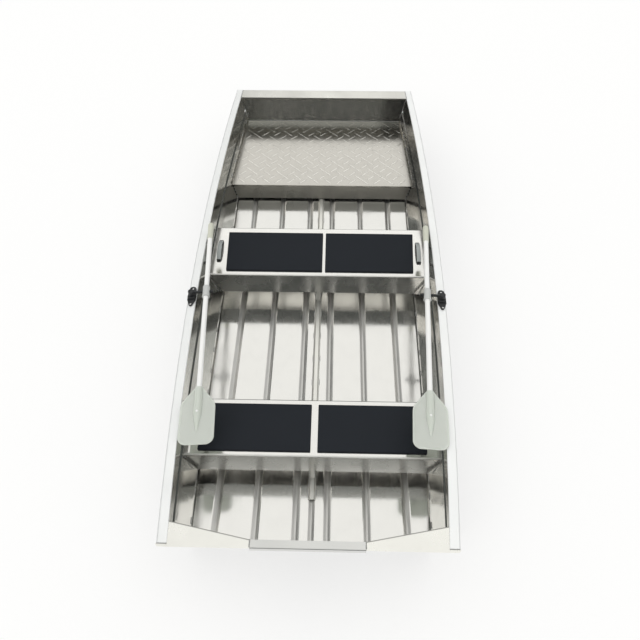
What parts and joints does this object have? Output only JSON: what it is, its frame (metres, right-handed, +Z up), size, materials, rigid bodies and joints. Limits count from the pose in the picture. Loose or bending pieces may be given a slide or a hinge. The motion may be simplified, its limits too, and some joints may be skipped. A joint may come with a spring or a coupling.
{
  "type": "jon boat",
  "caption": "Small flat-bottomed open aluminium boat with flared sides, benches, a treadplate bow deck and oars held in swivelling oarlocks.",
  "frame": {"origin": "on the ground at the underside of the pressed ribs, on the centreline, 1.742 m ahead of the stern, which is 12 mm aft of the middle of the overall length", "axes": "+Y towards the bow, +X to starboard, +Z up"},
  "size_m": [1.4546, 3.508, 0.4651],
  "materials": {
    "aluminium": "bright mill finish",
    "treadplate": "raised tread, bright",
    "pad_foam": "matt closed-cell foam",
    "black_plastic": "moulded, satin",
    "grey_plastic": "moulded, satin",
    "blade_plastic": "moulded, satin",
    "grip_plastic": "moulded, matt",
    "oar_tube": "white, glossy",
    "collar_plastic": "moulded, satin"
  },
  "bodies": {
    "hull": {"bottom_sheet": "aluminium", "side_panel_left": "aluminium", "side_panel_right": "aluminium", "transom_panel": "aluminium", "bow_panel": "aluminium", "gunwale_left": "aluminium", "gunwale_right": "aluminium", "transom_cap": "aluminium", "bow_cap": "aluminium", "corner_plate_left": "aluminium", "corner_plate_right": "aluminium", "keelson": "aluminium", "bow_deck": "treadplate", "front_bench": "aluminium", "rear_bench": "aluminium", "front_bench_post": "aluminium", "rear_bench_post": "aluminium", "front_gusset_left": "aluminium", "front_gusset_right": "aluminium", "rear_gusset_left": "aluminium", "rear_gusset_right": "aluminium", "front_pad_left": "pad_foam", "front_pad_right": "pad_foam", "rear_pad_left": "pad_foam", "rear_pad_right": "pad_foam", "strap_handle_left": "grey_plastic", "strap_handle_right": "grey_plastic", "motor_pad_inner": "black_plastic", "motor_pad_outer": "black_plastic", "drain_plug": "black_plastic", "bow_eye": "aluminium", "oarlock_base_left": "black_plastic", "oarlock_base_right": "black_plastic"},
    "left_oarlock": {"oarlock_swivel_left": "black_plastic"},
    "left_oar": {"oar_shaft_left": "oar_tube", "oar_grip_left": "grip_plastic", "oar_collar_left": "collar_plastic", "oar_blade_left": "blade_plastic"},
    "right_oarlock": {"oarlock_swivel_right": "black_plastic"},
    "right_oar": {"oar_shaft_right": "oar_tube", "oar_grip_right": "grip_plastic", "oar_collar_right": "collar_plastic", "oar_blade_right": "blade_plastic"}
  },
  "joints": [
    {"name": "left_oarlock_swivel", "type": "hinge", "parent": "hull", "child": "left_oarlock", "pos_m": [-0.69856, -0.337, 0.39475], "axis": [0, 0, -1], "range_deg": [0, 110]},
    {"name": "left_oar_tilt", "type": "hinge", "parent": "left_oarlock", "child": "left_oar", "pos_m": [-0.6148, -0.3307, 0.43175], "axis": [-0.9972, -0.075, 0], "range_deg": [0, 12]},
    {"name": "right_oarlock_swivel", "type": "hinge", "parent": "hull", "child": "right_oarlock", "pos_m": [0.69856, -0.337, 0.39475], "axis": [0, 0, 1], "range_deg": [0, 110]},
    {"name": "right_oar_tilt", "type": "hinge", "parent": "right_oarlock", "child": "right_oar", "pos_m": [0.6147, -0.33216, 0.43175], "axis": [-0.9983, 0.0576, 0], "range_deg": [0, 12]}
  ]
}
